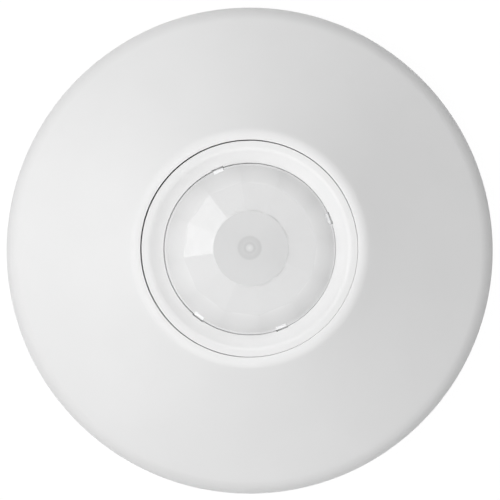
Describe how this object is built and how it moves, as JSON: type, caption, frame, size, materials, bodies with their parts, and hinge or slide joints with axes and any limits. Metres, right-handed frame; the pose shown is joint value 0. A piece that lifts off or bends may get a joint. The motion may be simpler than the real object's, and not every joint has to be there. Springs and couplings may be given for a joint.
{
  "type": "motion sensor",
  "caption": "Round ceiling-mount passive infrared motion sensor: conical clip-fit cover, faceted dome lens in a ring, housing with boards and sensor, and a slotted base plate.",
  "frame": {"origin": "centre of the base plate's back face, the face that lies against the ceiling", "axes": "+Z away from the ceiling, towards the room, so the part lies on its back with its lens up; +X from the centre towards the cable entry; +Y towards one mounting slot"},
  "size_m": [0.1156, 0.1156, 0.0394],
  "materials": {
    "cover_plastic": "satin white ABS with a fine even texture",
    "housing_plastic": "satin white ABS",
    "lens_plastic": "milky translucent polyethylene with fine grooves",
    "base_plastic": "matt off-white ABS",
    "collar_plastic": "natural nylon",
    "button_plastic": "dark grey moulded",
    "release_plastic": "orange moulded",
    "terminal_plastic": "green moulded",
    "black_plastic": "black moulded",
    "relay_plastic": "black moulded, slightly glossy",
    "board": "green solder mask on glass-epoxy",
    "steel_screw": "zinc-plated steel",
    "can_metal": "nickel-plated steel",
    "gold_pin": "gold-plated",
    "filter_glass": "dark infrared filter",
    "ceramic": "fired, matt",
    "led_epoxy": "clear red epoxy",
    "copper_wire": "enamelled copper wire",
    "soft_iron": "soft iron, bare",
    "spring_bronze": "phosphor bronze strip",
    "capacitor_sleeve": "dark heat-shrink sleeve",
    "ferrite": "dark grey ferrite",
    "varistor_coat": "blue dipped coating"
  },
  "bodies": {
    "base": {"base_plate": "base_plastic", "sensor_housing": "housing_plastic", "main_board": "board", "sensor_board": "board", "socket_strip": "black_plastic", "pin_strip": "black_plastic", "pyro_can": "can_metal", "pyro_header": "can_metal", "pyro_window": "filter_glass", "pyro_element": "ceramic", "pyro_collar": "collar_plastic", "status_led": "led_epoxy", "microcontroller": "black_plastic", "capacitor_1": "capacitor_sleeve", "capacitor_2": "capacitor_sleeve", "power_inductor": "ferrite", "surge_suppressor": "varistor_coat", "voltage_regulator": "black_plastic", "terminal_block": "terminal_plastic", "switch_body": "black_plastic", "relay_base": "relay_plastic", "relay_case": "relay_plastic", "relay_bobbin": "collar_plastic", "relay_winding": "copper_wire", "relay_core": "soft_iron", "relay_yoke": "soft_iron", "relay_open_contact": "spring_bronze", "relay_closed_contact": "spring_bronze", "housing_screw_1": "steel_screw", "header_pin_1": "gold_pin", "housing_screw_2": "steel_screw", "header_pin_2": "gold_pin", "housing_screw_3": "steel_screw", "header_pin_3": "gold_pin", "housing_screw_4": "steel_screw", "header_pin_4": "gold_pin", "main_board_screw_1": "steel_screw", "main_board_screw_2": "steel_screw", "sensor_board_screw_1": "steel_screw", "pyro_lead_1": "gold_pin", "sensor_board_screw_2": "steel_screw", "pyro_lead_2": "gold_pin", "sensor_board_screw_3": "steel_screw", "pyro_lead_3": "gold_pin"},
    "cover": {"front_cover": "cover_plastic"},
    "lens": {"fresnel_lens": "lens_plastic"},
    "program_button": {"program_button": "button_plastic", "switch_stem": "steel_screw"},
    "release_1": {"release_button_1": "release_plastic"},
    "release_2": {"release_button_2": "release_plastic"},
    "release_3": {"release_button_3": "release_plastic"},
    "armature": {"relay_armature": "soft_iron", "relay_card": "collar_plastic"},
    "blade": {"relay_blade": "spring_bronze"}
  },
  "joints": [
    {"name": "cover_lift", "type": "slide", "parent": "base", "child": "cover", "axis": [0, 0, 1], "range_m": [0, 0.045]},
    {"name": "lens_lift", "type": "slide", "parent": "base", "child": "lens", "axis": [0, 0, 1], "range_m": [0, 0.02]},
    {"name": "program_button_press", "type": "slide", "parent": "base", "child": "program_button", "axis": [0, 0, -1], "range_m": [0, 0.0004]},
    {"name": "release_1_press", "type": "slide", "parent": "base", "child": "release_1", "axis": [0, 0, -1], "range_m": [0, 0.0024]},
    {"name": "release_2_press", "type": "slide", "parent": "base", "child": "release_2", "axis": [0, 0, -1], "range_m": [0, 0.0024]},
    {"name": "release_3_press", "type": "slide", "parent": "base", "child": "release_3", "axis": [0, 0, -1], "range_m": [0, 0.0024]},
    {"name": "armature_swing", "type": "hinge", "parent": "base", "child": "armature", "pos_m": [0.0029, -0.0145, 0.00675], "axis": [0, 1, 0], "range_deg": [-4, 0]},
    {"name": "blade_flex", "type": "hinge", "parent": "base", "child": "blade", "pos_m": [0.00545, -0.0145, 0.006], "axis": [0, 1, 0], "range_deg": [-4, 0]}
  ],
  "couplings": [
    {"joint": "blade_flex", "follows": "armature_swing", "ratio": 0.893}
  ]
}
